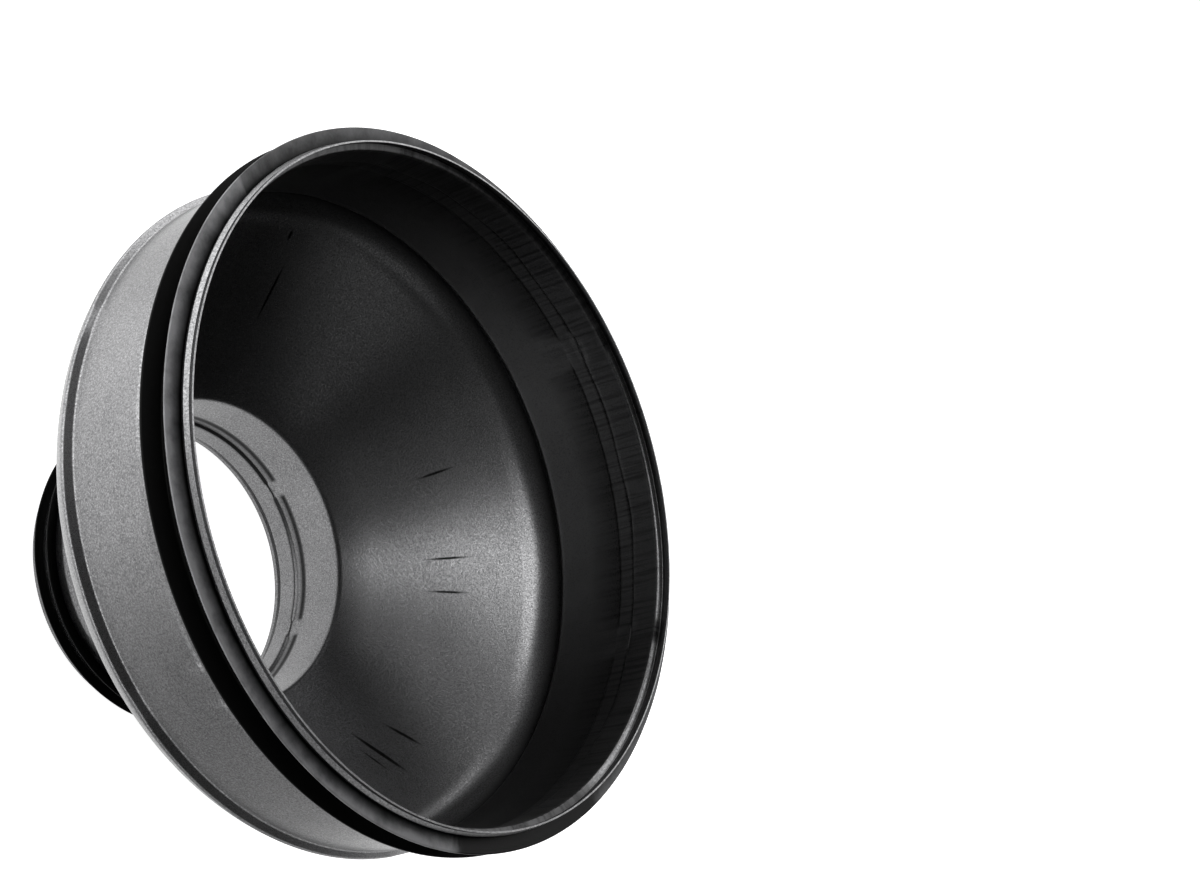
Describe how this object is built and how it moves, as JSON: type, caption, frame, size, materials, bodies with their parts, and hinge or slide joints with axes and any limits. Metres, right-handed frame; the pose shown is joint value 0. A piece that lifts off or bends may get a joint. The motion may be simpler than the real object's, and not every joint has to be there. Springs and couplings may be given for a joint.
{
  "type": "duct reducer",
  "caption": "Round pressed-steel duct reducer: a wide spigot, a stop ridge, a shoulder and a cone down to a narrow spigot, with a rubber lip seal under a steel strap at each end.",
  "frame": {"origin": "middle of the narrow end's cut edge, on the duct's axis", "axes": "+Z along the duct's axis, from the narrow end to the wide mouth; -Y is the side that faces the camera"},
  "size_m": [0.261, 0.261, 0.1683],
  "materials": {
    "galvanised_steel": "zinc-coated sheet, satin, with fine forming marks",
    "seal_rubber": "matt black moulded rubber",
    "strap_steel": "bright rolled strip"
  },
  "bodies": {
    "root": {"body": "galvanised_steel", "large_seal": "seal_rubber", "small_seal": "seal_rubber", "large_strap": "strap_steel", "small_strap": "strap_steel"}
  },
  "joints": []
}
